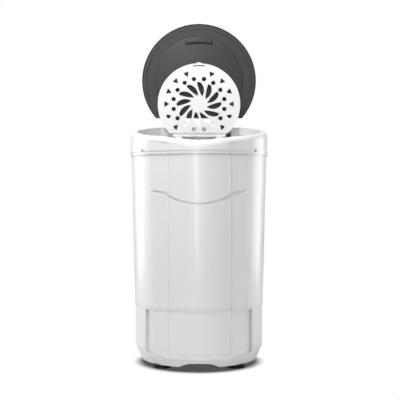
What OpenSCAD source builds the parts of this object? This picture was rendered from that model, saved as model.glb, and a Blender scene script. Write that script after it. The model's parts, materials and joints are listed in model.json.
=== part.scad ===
// Upright laundry spin dryer with a hinged outer lid and a perforated inner safety lid.
// Origin on the floor under the drum's axis, +Z up, front towards -Y. Both lids stand open.

/* [Body] */
// Radius of the round cabinet at its top edge
cabinet_r_top = 186.5; // [184:0.5:192]
// Radius of the round cabinet at its bottom edge
cabinet_r_bottom = 176.5; // [174:0.5:182]
// Radius of the base moulding
base_r = 175; // [172:0.5:180]
// How far the top cover stands proud of the cabinet
cover_step = 2.5; // [1:0.5:4]
// Wall of the moulded shells
wall = 3; // [2:0.25:3.5]
// Height of the seam between base and cabinet
base_top_z = 161; // [158:1:170]
// Height of the seam between cabinet and top cover
cabinet_top_z = 564; // [562:1:568]
// Half width of the bowed centre panel, front and rear
ridge_x = 80; // [70:1:88]
// How far the bowed centre panel is set back from the round body
panel_inset = 10.5; // [8:0.5:12]
// How far the flat flanks are set back from the round body
flank_inset = 12.5; // [11:0.5:14]
// Angle that each flat flank turns away from the front
flank_angle = 22; // [20:0.5:24]

/* [Top deck] */
// Height of the slanted rim over the drum's axis
deck_z = 634.5; // [632:0.5:638]
// Slope of the rim, front edge lower
deck_tilt = 9.8; // [9:0.1:10.5]
// Radius of the well that the outer lid closes into
well_r = 171; // [169:0.5:173]
// Depth of the well below the rim
well_depth = 40.3; // [39:0.1:42]
// Distance from the well's centre to its flat rear wall
well_chord = 130; // [128:1:134]
// Radius of the loading opening
mouth_r = 104; // [98:1:106]
// Radius at which the front lip of the rim rolls down
lip_roll_r = 93; // [80:1:110]

/* [Outer lid] */
// Radius of the outer lid
lid_r = 168.5; // [165:0.5:168.5]
// Distance from the outer lid's centre to its flat hinge edge
lid_chord = 110; // [104:1:116]
// Depth of the outer lid's rim
lid_depth = 13; // [12:0.5:15]
// Crown of the outer lid above its rim
lid_crown = 7; // [4:0.5:9]
// Distance from the well's centre to the outer lid's hinge axis
lid_hinge_v = 150; // [146:1:154]
// Sideways place of each hinge arm
arm_x = 65; // [60:1:70]
// Width of each hinge arm
arm_w = 20; // [14:1:22]
// Diameter of the outer lid's hinge pins
lid_pin_d = 6; // [5:0.5:8]

/* [Inner lid] */
// Radius of the inner safety lid
disc_r = 120.4; // [118:0.2:122]
// Thickness of the inner safety lid
disc_t = 4; // [3:0.5:5]
// Distance from the well's centre to the inner lid's hinge axis
disc_hinge_v = 105; // [103:1:108]
// Height of the inner lid's hinge axis above the well floor
disc_hinge_h = 6.3; // [6:0.1:8]
// Swirl openings round the hub
petals = 12; // [8:1:12]
// Round holes in the ring outside the swirl
ring_holes = 16; // [12:1:16]
// Diameter of those round holes
ring_hole_d = 13; // [8:0.5:14]
// Diameter of the inner lid's hinge pins
disc_pin_d = 5; // [4:0.5:6]

/* [Drum and drive] */
// Outer radius of the spinning basket
basket_r = 120; // [116:1:122]
// Height of the basket's bottom above the floor
basket_z = 212; // [210:1:220]
// Height of the basket's wall
basket_h = 326; // [300:1:328]
// Inner radius of the fixed tub
tub_r = 131; // [129:1:131]
// Radius of the drive shaft
shaft_r = 8; // [6:0.5:9]
// Radius of the brake drum
brake_r = 40; // [36:1:44]
// Radius of the motor's can
motor_r = 62; // [56:1:66]

/* [Interlock] */
// Sideways place of the interlock rod
rod_x = 87; // [86:0.5:88]
// Travel of the interlock rod when the lid shuts
rod_travel = 12; // [8:0.5:12]
// Radius of the interlock rod
rod_r = 2.5; // [2:0.25:3]

/* [Feet] */
// Half the distance between the feet, side to side
foot_x = 98; // [92:1:99]
// Half the distance between the feet, front to rear
foot_y = 100; // [96:1:101]
// Diameter of each rubber foot
foot_d = 50; // [40:1:52]
// Gap under the skirt
skirt_z = 10; // [8:1:14]

/* [Hidden] */

$fn = 96;
far = 500;            // reach of a cutting block
run_fit = 0.05;       // radial clearance of a turning or sliding pin
seat_fit = 0.05;      // radial clearance of a pressed or nested piece

// Colours as photographed
white_body = [0.93, 0.93, 0.94];
lid_grey = [0.3, 0.3, 0.31];
black_part = [0.06, 0.06, 0.06];
tub_white = [0.85, 0.86, 0.87];
steel = [0.72, 0.73, 0.75];
rubber_black = [0.1, 0.1, 0.1];

// Places in the slanted frame of the rim: v runs to the rear, w stands up from the rim
lid_hinge_w = -lid_depth;
arm_bar = 6;           // thickness of each hinge arm
disc_floor_w = -well_depth;
disc_hinge_w = disc_floor_w + disc_hinge_h;
lid_open = 90 + deck_tilt;
disc_lean = 4.2;
disc_open = 90 + deck_tilt + disc_lean;

function deck_y(v, w) = v * cos(deck_tilt) - w * sin(deck_tilt);
function deck_height(v, w) = deck_z + v * sin(deck_tilt) + w * cos(deck_tilt);

cover_r = cabinet_r_top + cover_step;
front_reach = 110;    // the bowed panels are cut out of the body beyond this

// Interlock rod and brake, on one line out from the axis
rod_v = 121;
rod_y = deck_y(rod_v, disc_floor_w);
rod_line = atan2(rod_y, rod_x);
rod_out = norm([rod_x, rod_y]);
tower_w = 17;
tower_len = 15;
striker_drop = 6;      // how far the striker reaches below the hinge arm
striker_w = -lid_depth - arm_bar - striker_drop;
tower_top_w = striker_w - 2;
plate_z = 134;
plate_t = 4;
pivot_z = plate_z + plate_t + 8;
pivot_out = brake_r + 20;
lever_t = 6;
pivot_r = 3;
brake_z = pivot_z;
brake_h = 24;
rod_foot_z = pivot_z + lever_t / 2 + 0.3;

// Tub and drum heights
tub_z = 182;
tub_top_z = 556;
tub_wall = 3;
gasket_h = 4;
basket_wall = 2;
ring_h = 12;
collar_z = basket_z + basket_h + ring_h + 3;
lug_out = tub_r + tub_wall + 16;
lug_t = 6;
floor_z = 27;         // top of the base's floor
mount_out = 100;
mount_h = 38;
mount_r = 15;
post_r = 8;
shaft_bottom = 46;

// ---------- helpers ----------

module on_deck() {
    translate([0, 0, deck_z]) rotate([deck_tilt, 0, 0]) children();
}

// Turns what is modelled shut, in the deck's frame, to its open place
module swung_open(v, w, angle) {
    on_deck() translate([0, v, w]) rotate([-angle, 0, 0]) translate([0, -v, -w]) children();
}

module four_ways() {
    for (mx = [0, 1], my = [0, 1]) mirror([mx, 0, 0]) mirror([0, my, 0]) children();
}

module ring(r_out, r_in, h) {
    difference() {
        cylinder(r = r_out, h = h);
        translate([0, 0, -1]) cylinder(r = r_in, h = h + 2);
    }
}

module around(count, start = 0) {
    for (i = [0 : count - 1]) rotate([0, 0, start + i * 360 / count]) children();
}

// The body's outline, from z0 with radius r0 up to z1 with radius r1: a round body, four flat
// flanks, and a bowed panel between the flanks at the front and the rear
module body_form(z0, z1, r0, r1, half_panel, proud = 0) {
    h = z1 - z0;
    draft = atan((r1 - r0) / h);
    difference() {
        translate([0, 0, z0]) cylinder(r1 = r0, r2 = r1, h = h);
        four_ways() rotate([0, 0, flank_angle]) translate([0, flank_inset - proud - r0, z0])
            rotate([draft, 0, 0]) translate([-far, -far, -far]) cube([2 * far, far, 2 * far + h]);
        for (side = [0, 1]) mirror([0, side, 0])
            translate([-half_panel, -far, z0 - 1]) cube([2 * half_panel, far - front_reach, h + 2]);
    }
    for (side = [0, 1]) mirror([0, side, 0]) intersection() {
        translate([0, panel_inset - proud, z0]) cylinder(r1 = r0, r2 = r1, h = h);
        translate([-half_panel, -far, z0 - 1])
            cube([2 * half_panel, far - front_reach + 5, h + 2]);
    }
}

// ---------- base ----------

arch_half = 56;
arch_rise = 11;
plinth_z = 40;
slot_angle = 39;
slot_z0 = 41;
slot_z1 = 155;
slot_w = 16;
slot_depth = 9;
slot_border = 1.2;
lip_h = 6;            // the pan's lip reaches this far up inside the shell
lip_gap = 0.3;
vent_r = 50;

// The body draws in at its foot
module foot_taper(grow) {
    rotate_extrude() polygon([[0, 0], [base_r + grow - 19, 0], [base_r + grow - 17, skirt_z],
        [base_r + grow - 11.5, 21.4], [base_r + grow - 6, 33], [base_r + grow - 1.5, 43.5],
        [base_r + grow, 50], [base_r + grow + 5, far], [0, far]]);
}

plinth_proud = 4;     // the panels of the plinth stand further out than those above
bead_h = 4;
bead_out = 1.5;
ridge_r = 2;
ridge_sink = 0.6;     // the beads are set in by this

module base_form(grow, with_plinth = true) {
    low = skirt_z - 5;
    r = base_r + grow;
    intersection() {
        union() {
            body_form(low, base_top_z, r, r, ridge_x + grow);
            if (with_plinth) body_form(low, plinth_z + 1, r, r, ridge_x + grow, plinth_proud);
        }
        foot_taper(grow);
    }
}

// The part of children between two heights
module between(z0, z1) {
    intersection() {
        children();
        translate([0, 0, z0]) cylinder(r = far, h = z1 - z0);
    }
}

// Half round beads where the bowed panels meet the flanks, from z0 up to z1
module ridges(z0, z1, r0, r1) {
    y0 = panel_edge(r0);
    lean = atan((panel_edge(r1) - y0) / (z1 - z0));
    four_ways() translate([-ridge_x, ridge_sink - y0, z0]) rotate([lean, 0, 0])
        cylinder(r = ridge_r, h = (z1 - z0) / cos(lean));
}

// How far out the bowed panel's edge lies on a body of radius r
function panel_edge(r) = sqrt(pow(r, 2) - pow(ridge_x, 2)) - panel_inset;

// The opening under the front and the rear: a low hump that runs out smoothly at both ends
module arch_cut() {
    steps = 14;
    translate([0, far, skirt_z]) rotate([90, 0, 0]) linear_extrude(height = 2 * far) polygon(concat(
        [[arch_half, -10], [-arch_half, -10]],
        [for (i = [-steps : steps]) let (u = pow(abs(i) / steps, 2.3))
            [i * arch_half / steps, arch_rise * (1 + cos(180 * u)) / 2 - 0.2]]));
}

module slot_block(w, h, depth) {
    translate([base_r - depth, -w / 2, (slot_z0 + slot_z1 - h) / 2]) cube([depth + 10, w, h]);
}

module at_slots() {
    for (side = [0, 1]) mirror([side, 0, 0]) rotate([0, 0, -slot_angle]) children();
}

module base_shell() {
    color(white_body) {
        difference() {
            union() {
                difference() {
                    base_form(0, false);
                    base_form(-wall, false);
                }
                // flat bosses behind the drain spout and the cable gland
                translate([drain_x, boss_y, drain_z]) rotate([90, 0, 0]) cylinder(r = spout_r + 6, h = 18);
                translate([-drain_x, boss_y, drain_z]) rotate([90, 0, 0]) cylinder(r = gland_r + 5, h = 18);
                // inner lip that the cabinet slips over
                difference() {
                    body_form(base_top_z - 8, base_top_z + 8, base_r - wall + 0.5, base_r - wall + 0.5,
                        ridge_x - wall);
                    body_form(base_top_z - 9, base_top_z + 9, base_r - 2 * wall, base_r - 2 * wall,
                        ridge_x - 2 * wall);
                }
                // bead under the seam, and the ridges
                difference() {
                    body_form(base_top_z - bead_h, base_top_z, base_r + bead_out, base_r + bead_out, ridge_x);
                    body_form(0, base_top_z + 1, base_r - 1, base_r - 1, ridge_x);
                }
                ridges(plinth_z - 2, base_top_z - 1, base_r, base_r);
                // raised borders of the tall pockets in the front corners
                intersection() {
                    at_slots() slot_block(slot_w + 5, slot_z1 - slot_z0 + 5, slot_depth + 3);
                    base_form(slot_border, false);
                }
            }
            // it stands on the pan's plinth
            cylinder(r = far, h = plinth_z + seat_fit);
            at_slots() slot_block(slot_w, slot_z1 - slot_z0, slot_depth);
            at_cabinet_screws() cylinder(d = 4.2, h = 9 * wall, center = true);
            // drain spout and cable gland
            translate([drain_x, 0, drain_z]) rotate([-90, 0, 0]) cylinder(r = spout_r + run_fit, h = far);
            translate([-drain_x, 0, drain_z]) rotate([-90, 0, 0]) cylinder(r = gland_r + run_fit, h = far);
        }
    }
}

// Pan with the plinth round it: it stands on the feet and carries the motor, the tub and the shell
module base_pan() {
    color(white_body) difference() {
        union() {
            // plinth wall, with a shelf and a lip that the shell is pressed over
            difference() {
                union() {
                    between(skirt_z, plinth_z) base_form(0);
                    between(plinth_z - 1, plinth_z + lip_h) base_form(-wall - lip_gap, false);
                }
                between(skirt_z - 1, plinth_z - wall) base_form(-wall);
                between(skirt_z - 1, plinth_z + lip_h + 1) base_form(-2 * wall, false);
                at_slots() translate([base_r - slot_depth - 4, -slot_w / 2 - 4, plinth_z - 0.1])
                    cube([30, slot_w + 8, 2 * lip_h]);
            }
            // floor
            between(floor_z - wall, floor_z) base_form(-0.5);
            // bosses that the feet screw into
            four_ways() translate([-foot_x, -foot_y, skirt_z]) cylinder(r = 12, h = floor_z - skirt_z - 1);
            // posts for the motor's rubber mounts
            around(3, rod_line + 90) translate([mount_out, 0, floor_z - 1])
                cylinder(r = mount_r + 3, h = plate_z - mount_h - floor_z + 1);
            // posts that carry the tub
            around(4) translate([lug_out, 0, floor_z - 1])
                cylinder(r = post_r, h = tub_z - lug_t - floor_z + 1);
        }
        arch_cut();
        // vent under the motor
        translate([0, 0, skirt_z]) cylinder(r = vent_r, h = floor_z);
        four_ways() translate([-foot_x, -foot_y, 0]) cylinder(d = 4.2, h = floor_z + 1);
        around(4) translate([lug_out, 0, tub_z - lug_t - 20]) cylinder(d = 4.2, h = 30);
    }
}

// ---------- cabinet ----------

smile_low_z = 435;
smile_high_z = 455;
smile_flank_z0 = 461;
smile_flank_z1 = 466;
smile_flank_x = 120;
groove_w = 4;
groove_depth = 2.2;
seam_gap = 1;
cabinet_ear_w = 14;
cabinet_ear_up = 7.5;  // the ears reach this far above their screws

// The line moulded across the front, seen from the front
module smile_line() {
    rise = smile_high_z - smile_low_z;
    r = (pow(ridge_x, 2) + pow(rise, 2)) / (2 * rise);
    intersection() {
        translate([0, smile_low_z + r]) difference() {
            circle(r = r + groove_w / 2, $fn = 200);
            circle(r = r - groove_w / 2, $fn = 200);
        }
        translate([-ridge_x, smile_low_z - 5]) square([2 * ridge_x, rise + 10]);
    }
    for (side = [0, 1]) mirror([side, 0]) polygon([
        [ridge_x, smile_high_z - 1], [smile_flank_x, smile_flank_z1],
        [smile_flank_x, smile_flank_z1 + groove_w], [ridge_x + 8, smile_flank_z0 + groove_w],
        [ridge_x, smile_high_z + groove_w]]);
}

module cabinet_form(grow) {
    slope = (cabinet_r_top - cabinet_r_bottom) / (cabinet_top_z - base_top_z);
    over = grow < 0 ? 1 : 0;
    body_form(base_top_z - over, cabinet_top_z + over, cabinet_r_bottom + grow - slope * over,
        cabinet_r_top + grow + slope * over, ridge_x + min(grow, 0));
}

module cabinet_shell() {
    color(white_body) {
        difference() {
            union() {
                cabinet_form(0);
                ridges(base_top_z, cabinet_top_z, cabinet_r_bottom, cabinet_r_top);
            }
            cabinet_form(-wall);
            // shadow lines at the two seams
            cylinder(r = far, h = base_top_z + seam_gap);
            translate([0, 0, cabinet_top_z - seam_gap]) cylinder(r = far, h = far);
            at_cabinet_screws() cylinder(d = 4.2, h = 4 * wall, center = true);
            difference() {
                translate([0, -front_reach, 0]) rotate([90, 0, 0]) linear_extrude(height = far) smile_line();
                cabinet_form(-groove_depth);
            }
        }
        // ears that the cover's screws bite into
        at_cover_screws() difference() {
            translate([-cabinet_ear_up, -cabinet_ear_w / 2, cabinet_r_top - wall - 2 - cover_r])
                cube([cabinet_ear_up + 24, cabinet_ear_w, cover_step + 1.7]);
            cylinder(d = 4.2, h = 9 * wall, center = true);
        }
    }
}

// ---------- top cover ----------

roll_start = 137;
rear_start = 128;
rear_roll_r = 150;

// Side view of everything below the rim, lowered by drop
module under_rim(drop, start = roll_start) {
    translate([-far, 0, 0]) rotate([90, 0, 90]) linear_extrude(height = 2 * far) rim_side(drop, start);
}

module rim_side(drop, start) {
    // here x runs to the rear and y stands up
    difference() {
        translate([0, deck_z - drop / cos(deck_tilt)]) rotate(deck_tilt)
            translate([-far, -far]) square([2 * far, far]);
        // the front lip rolls down in an arc
        translate([0, deck_z - drop / cos(deck_tilt)]) rotate(deck_tilt)
            translate([-start, -lip_roll_r]) difference() {
                translate([-far, 0]) square([far, lip_roll_r + 1]);
                circle(r = lip_roll_r);
            }
        // the rear rolls down too, more gently
        translate([0, deck_z - drop / cos(deck_tilt)]) rotate(deck_tilt)
            translate([start - roll_start + rear_start, -rear_roll_r]) difference() {
                square([far, rear_roll_r + 1]);
                circle(r = rear_roll_r);
            }
    }
}

module well_form(grow, floor_drop) {
    difference() {
        translate([0, 0, -well_depth - floor_drop])
            cylinder(r = well_r + grow, h = well_depth + floor_drop + far);
        translate([-far, well_chord + grow, -far]) cube([2 * far, far, 3 * far]);
    }
}

module cover_shell_form(grow) {
    over = grow < 0 ? 1 : 0;
    body_form(cabinet_top_z - over, deck_z + 80, cover_r + grow, cover_r + grow, ridge_x + grow + 1);
}

// The top of the cover, its outer edge rounded over: a hull of nested outlines
lip_round = 9;
lip_seam = 0.4;       // the lip stands this far in from the wall below it
cover_rib_z = 573;
cover_rib_h = 4;
cover_rib_out = 1.4;

module lip_level(inset, drop) {
    intersection() {
        cover_shell_form(-inset);
        difference() {
            under_rim(drop, roll_start + 0.7);
            under_rim(drop + 0.2, roll_start + 0.7);
        }
    }
}

module rounded_lip() {
    hull() {
        lip_level(lip_seam, lip_round + 1);
        for (turn = [0 : 30 : 90])
            lip_level(lip_seam + lip_round * (1 - cos(turn)), lip_round * (1 - sin(turn)));
    }
}

hinge_slot_len = 36;
ear_t = 4;
ear_gap = 1.5;
disc_knuckle_x = 60;
disc_knuckle_w = 20;
knuckle_r = 5.5;

module lid_ears() {
    for (side = [-1, 1], face = [-1, 1])
        translate([side * arm_x + face * (arm_w / 2 + ear_gap + ear_t / 2) - ear_t / 2,
            well_chord, lid_hinge_w - 15])
            cube([ear_t, hinge_slot_len, 15 - lid_hinge_w - 1]);
}

module disc_ears() {
    for (side = [-1, 1], face = [-1, 1])
        translate([side * disc_knuckle_x + face * (disc_knuckle_w / 2 + 0.5 + ear_t / 2) - ear_t / 2,
            disc_hinge_v, 0]) rotate([0, 90, 0]) linear_extrude(height = ear_t) {
                translate([-disc_hinge_w, 0]) circle(r = knuckle_r);
                translate([-disc_hinge_w, -knuckle_r]) square([disc_hinge_h + 1, 2 * knuckle_r]);
            }
}

module top_cover() {
    color(white_body) difference() {
        union() {
            difference() {
                union() {
                    intersection() {
                        cover_shell_form(0);
                        under_rim(lip_round);
                    }
                    rounded_lip();
                    body_form(cover_rib_z, cover_rib_z + cover_rib_h, cover_r + cover_rib_out,
                        cover_r + cover_rib_out, ridge_x + 1);
                }
                // hollow under the deck
                difference() {
                    intersection() {
                        cover_shell_form(-wall);
                        under_rim(wall + 2);
                    }
                    on_deck() well_form(wall, wall);
                }
                on_deck() well_form(0, 0);
            }
            // rim that stands on the tub's gasket
            intersection() {
                translate([0, 0, tub_top_z + gasket_h]) ring(tub_r + tub_wall, tub_r - 2, far);
                on_deck() translate([0, 0, -well_depth - 1 - far]) cylinder(r = far, h = far);
            }
            // splash collar round the opening
            intersection() {
                translate([0, 0, collar_z]) ring(mouth_r + wall, mouth_r, far);
                on_deck() translate([0, 0, -well_depth - 1 - far]) cylinder(r = far, h = far);
            }
            // tongue that drops inside the cabinet
            difference() {
                union() {
                    body_form(cabinet_top_z - 8, cabinet_top_z + wall, cabinet_r_top - wall - 0.5,
                        cabinet_r_top - wall - 0.5, ridge_x - wall);
                    body_form(cabinet_top_z, cabinet_top_z + wall, cover_r - 1, cover_r - 1, ridge_x);
                }
                body_form(cabinet_top_z - 9, cabinet_top_z + 9, cabinet_r_top - 2 * wall,
                    cabinet_r_top - 2 * wall, ridge_x - 2 * wall);
            }
            intersection() {
                on_deck() lid_ears();
                under_rim(1);
            }
            on_deck() disc_ears();
        }
        translate([0, 0, cabinet_top_z - 20]) cylinder(r = mouth_r, h = 200);
        // slots that the hinge arms swing in
        on_deck() for (side = [-1, 1])
            translate([side * arm_x - arm_w / 2 - ear_gap, well_chord - 1, lid_hinge_w - 15])
                cube([arm_w + 2 * ear_gap, hinge_slot_len - wall + 1, far]);
        on_deck() translate([0, lid_hinge_v, lid_hinge_w]) rotate([0, 90, 0])
            translate([0, 0, -arm_x - arm_w]) cylinder(d = lid_pin_d + 2 * seat_fit, h = 2 * (arm_x + arm_w));
        on_deck() translate([0, disc_hinge_v, disc_hinge_w]) rotate([0, 90, 0])
            translate([0, 0, -disc_knuckle_x - disc_knuckle_w])
                cylinder(d = disc_pin_d + 2 * seat_fit, h = 2 * (disc_knuckle_x + disc_knuckle_w));
        // rod's passage through the well floor
        translate([rod_x, rod_y, cabinet_top_z]) cylinder(r = plunger_r + 1, h = 100);
        at_cover_screws() {
            cylinder(d = 4.2, h = 3 * wall, center = true);
            // flat seat for the screw's head, and room for the cabinet's ear
            translate([0, 0, -0.15]) cylinder(d = 9, h = 9);
            translate([cabinet_ear_up - 1, -cabinet_ear_w / 2 - 0.5, -12])
                cube([14, cabinet_ear_w + 1, 12 - wall - 0.2]);
        }
    }
}

cover_screw_angle = 38;
cover_screw_z = 574.5;

module at_cover_screws() {
    for (side = [0, 1], rear = [0, 1]) mirror([side, 0, 0]) mirror([0, rear, 0])
        rotate([0, 0, -cover_screw_angle]) translate([cover_r, 0, cover_screw_z]) rotate([0, 90, 0])
            children();
}

module cover_screws() {
    color(steel) at_cover_screws() {
        translate([0, 0, -0.1]) cylinder(d = 7, h = 1.7);
        translate([0, 0, -9]) cylinder(d = 4, h = 10);
    }
}

cabinet_screw_angle = 40;
cabinet_screw_z = base_top_z + 4;

module at_cabinet_screws() {
    for (side = [0, 1]) mirror([side, 0, 0]) rotate([0, 0, cabinet_screw_angle])
        translate([cabinet_r_bottom, 0, cabinet_screw_z]) rotate([0, 90, 0]) children();
}

module cabinet_screws() {
    color(steel) at_cabinet_screws() {
        translate([0, 0, 0.2]) cylinder(d = 7, h = 1.6);
        translate([0, 0, -9]) cylinder(d = 4, h = 10);
    }
}

// ---------- feet ----------

module feet() {
    color(rubber_black) four_ways() translate([-foot_x, -foot_y, 0]) difference() {
        rotate_extrude() polygon([[0, 0], [foot_d / 2 - 1, 0], [foot_d / 2, 1.5],
            [foot_d / 2 - 3, skirt_z], [0, skirt_z]]);
        translate([0, 0, -1]) cylinder(d = 11, h = 5);
        translate([0, 0, -1]) cylinder(d = 4.4, h = skirt_z + 2);
    }
}

module foot_screws() {
    color(steel) four_ways() translate([-foot_x, -foot_y, 0]) {
        translate([0, 0, 1.2]) cylinder(d = 8, h = 2.8);
        translate([0, 0, 3]) cylinder(d = 4, h = floor_z - 5);
    }
}

// ---------- tub ----------

tub_neck_r = 34;
tub_neck_h = 16;
drain_x = -0.4 * base_r;
drain_z = 120;
spout_r = 12;
spout_wall = 3;
hose_wall = 3;
gland_r = 8;
boss_y = base_r - 17;         // rear face that the spout and the gland seat on
drain_port_y = 100;

module outer_tub() {
    color(tub_white) difference() {
        union() {
            translate([0, 0, tub_z]) cylinder(r = tub_r + tub_wall, h = tub_top_z - tub_z);
            around(4) translate([lug_out, 0, tub_z - lug_t]) {
                cylinder(r = post_r, h = lug_t);
                translate([-lug_out + tub_r, -post_r, 0]) cube([lug_out - tub_r, 2 * post_r, lug_t]);
            }
            translate([0, 0, tub_z - lug_t]) ring(tub_r + tub_wall, tub_r - 8, lug_t + 1);
            // outlet stub
            translate([drain_x, drain_port_y, tub_z - 20]) cylinder(r = spout_r, h = 21);
        }
        difference() {
            translate([0, 0, tub_z + tub_wall]) cylinder(r = tub_r, h = far);
            translate([0, 0, tub_z]) cylinder(r = tub_neck_r + tub_wall, h = tub_wall + tub_neck_h);
        }
        translate([0, 0, tub_z - 1]) cylinder(r = tub_neck_r, h = far);
        translate([drain_x, drain_port_y, tub_z - 21]) cylinder(r = spout_r - spout_wall, h = 30);
        around(4) translate([lug_out, 0, tub_z - lug_t - 1]) cylinder(d = 4.4, h = lug_t + 2);
    }
}

module tub_gasket() {
    color(rubber_black) difference() {
        translate([0, 0, tub_top_z - 8]) ring(tub_r + tub_wall + 2.5, tub_r - 2, gasket_h + 8);
        translate([0, 0, tub_top_z - 9]) ring(tub_r + tub_wall + seat_fit, tub_r - seat_fit, 9);
        translate([0, 0, tub_top_z - 9]) cylinder(r = tub_r + 1, h = 9);
    }
}

module tub_screws() {
    color(steel) around(4) translate([lug_out, 0, tub_z]) {
        cylinder(d = 8, h = 3);
        translate([0, 0, -18]) cylinder(d = 4, h = 19);
    }
}

module shaft_seal() {
    color(rubber_black) translate([0, 0, tub_z + tub_wall]) rotate_extrude() polygon([
        [shaft_r + 0.4, 6], [shaft_r + 0.4, 12], [shaft_r + 4, 12], [tub_neck_r - 8, 8],
        [tub_neck_r - 8, tub_neck_h], [tub_neck_r - seat_fit, tub_neck_h], [tub_neck_r - seat_fit, 0],
        [tub_neck_r - 4, 0], [tub_neck_r - 12, 4]]);
}

module drain_hose() {
    color(rubber_black) difference() {
        drain_run(spout_r + hose_wall, 0);
        drain_run(spout_r + seat_fit, 1);
    }
}

hose_bend_r = 22;
hose_end_y = drain_port_y + hose_bend_r + 13;

// From the tub's outlet down, round a bend and out to the rear
module drain_run(r, over) {
    rise = tub_z - lug_t - 0.5 - drain_z - hose_bend_r;
    translate([drain_x, drain_port_y, drain_z + hose_bend_r]) cylinder(r = r, h = rise + over);
    translate([drain_x, drain_port_y + hose_bend_r, drain_z + hose_bend_r]) rotate([-90, 0, -90])
        rotate_extrude(angle = 90) translate([hose_bend_r, 0]) circle(r = r);
    translate([drain_x, drain_port_y + hose_bend_r, drain_z]) rotate([-90, 0, 0])
        cylinder(r = r, h = hose_end_y - drain_port_y - hose_bend_r + over);
}

module drain_spout() {
    spout_end_y = boss_y + 18;
    color(black_part) translate([drain_x, 0, drain_z]) rotate([-90, 0, 0]) difference() {
        union() {
            translate([0, 0, hose_end_y - 11]) cylinder(r = spout_r, h = spout_end_y - hose_end_y + 11);
            translate([0, 0, boss_y]) cylinder(r = spout_r + 4, h = 3);
        }
        cylinder(r = spout_r - spout_wall, h = far);
    }
}

module cable_gland() {
    color(black_part) translate([-drain_x, 0, drain_z]) rotate([-90, 0, 0]) difference() {
        union() {
            translate([0, 0, boss_y - 20]) cylinder(r = gland_r, h = 21);
            translate([0, 0, boss_y]) cylinder(r = gland_r + 3, h = 8);
        }
        translate([0, 0, 130]) cylinder(r = 3.5, h = far);
    }
}

// ---------- motor and mounts ----------

bearing_r = 17;
bearing_h = 9;
can_wall = 2;
can_z = shaft_bottom - 6;
rotor_r = 34;
rotor_h = 50;
air_gap = 0.5;
stud_r = 3;

module motor_plate() {
    color(steel) difference() {
        union() {
            translate([0, 0, plate_z]) cylinder(r = motor_r + 6, h = plate_t);
            around(3, rod_line + 90) {
                translate([mount_out, 0, plate_z]) cylinder(r = mount_r, h = plate_t);
                translate([0, -mount_r, plate_z]) cube([mount_out, 2 * mount_r, plate_t]);
            }
            rotate([0, 0, rod_line]) for (side = [-1, 1])
                translate([pivot_out - 7, side * (lever_w / 2 + 2.5) - 1.5, plate_z])
                    cube([14, 3, pivot_z + 6 - plate_z]);
        }
        translate([0, 0, plate_z - 1]) cylinder(r = shaft_r + 4, h = plate_t + 2);
        around(3, rod_line + 90) translate([mount_out, 0, plate_z - 1])
            cylinder(r = stud_r + 0.3, h = plate_t + 2);
        rotate([0, 0, rod_line]) translate([pivot_out, 0, pivot_z]) rotate([90, 0, 0])
            cylinder(r = pivot_r + seat_fit, h = 40, center = true);
    }
}

module rubber_mounts() {
    color(rubber_black) around(3, rod_line + 90) translate([mount_out, 0, plate_z - mount_h])
        rotate_extrude() difference() {
            square([mount_r, mount_h]);
            translate([mount_r + 12, mount_h / 2]) circle(r = 18);
            square([stud_r + seat_fit, mount_h]);
        }
}

module mount_nuts() {
    color(steel) around(3, rod_line + 90) translate([mount_out, 0, 0]) {
        translate([0, 0, plate_z - mount_h + 1]) cylinder(r = stud_r, h = mount_h + plate_t + 8);
        translate([0, 0, plate_z + plate_t]) cylinder(r = 6.5, h = 5, $fn = 6);
    }
}

module motor_can() {
    color([0.35, 0.37, 0.4]) difference() {
        translate([0, 0, can_z]) cylinder(r = motor_r, h = plate_z - can_z);
        translate([0, 0, can_z + bearing_h + 1])
            cylinder(r = motor_r - can_wall, h = plate_z - can_z - 2 * bearing_h - 2);
        translate([0, 0, can_z + 1]) cylinder(r = bearing_r + seat_fit, h = far);
    }
}

module stator() {
    color([0.55, 0.35, 0.2]) translate([0, 0, can_z + 22])
        ring(motor_r - can_wall - seat_fit, rotor_r + air_gap, rotor_h);
}

module motor_bearings() {
    color(steel) for (z = [can_z + 1, plate_z - bearing_h]) translate([0, 0, z])
        ring(bearing_r, shaft_r + run_fit, bearing_h);
}

module capacitor() {
    color([0.8, 0.8, 0.82]) translate([-110, -60, floor_z]) {
        cylinder(r = 18, h = 60);
        translate([0, 0, 60]) cylinder(r = 12, h = 4);
    }
}

module capacitor_clip() {
    color(steel) translate([-110, -60, floor_z]) difference() {
        union() {
            translate([0, 0, 20]) cylinder(r = 20, h = 12);
            translate([-26, -6, 0]) cube([8, 12, 32]);
        }
        translate([0, 0, -1]) cylinder(r = 18 + seat_fit, h = 80);
    }
}

// ---------- interlock and brake ----------

plunger_r = 6;
lever_w = 8;

module interlock_tower() {
    color(black_part) difference() {
        on_deck() translate([rod_x - tower_w / 2, rod_v - tower_len / 2, disc_floor_w])
            cube([tower_w, tower_len, tower_top_w - disc_floor_w]);
        translate([rod_x, rod_y, 0]) cylinder(r = plunger_r + run_fit, h = far * 2);
    }
}

module interlock_rod() {
    pressed_w = striker_w - plunger_r * sin(deck_tilt) - 0.3;
    pressed_v = (rod_y + pressed_w * sin(deck_tilt)) / cos(deck_tilt);
    top_z = deck_height(pressed_v, pressed_w) + rod_travel;
    plunger_z = tub_top_z + 20;
    color(black_part) translate([rod_x, rod_y, 0]) {
        translate([0, 0, plunger_z]) cylinder(r = plunger_r, h = top_z - plunger_z);
        translate([0, 0, rod_foot_z]) cylinder(r = rod_r, h = plunger_z - rod_foot_z + 1);
    }
}

module rod_guide() {
    guide_z = 420;
    color(black_part) rotate([0, 0, rod_line]) difference() {
        translate([tub_r + tub_wall + seat_fit, -7, guide_z])
            cube([rod_out - tub_r - tub_wall + 6, 14, 10]);
        translate([0, 0, guide_z - 1]) cylinder(r = tub_r + tub_wall + seat_fit, h = 12);
        translate([rod_out, 0, guide_z - 1]) cylinder(r = rod_r + run_fit, h = 12);
    }
}

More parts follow.
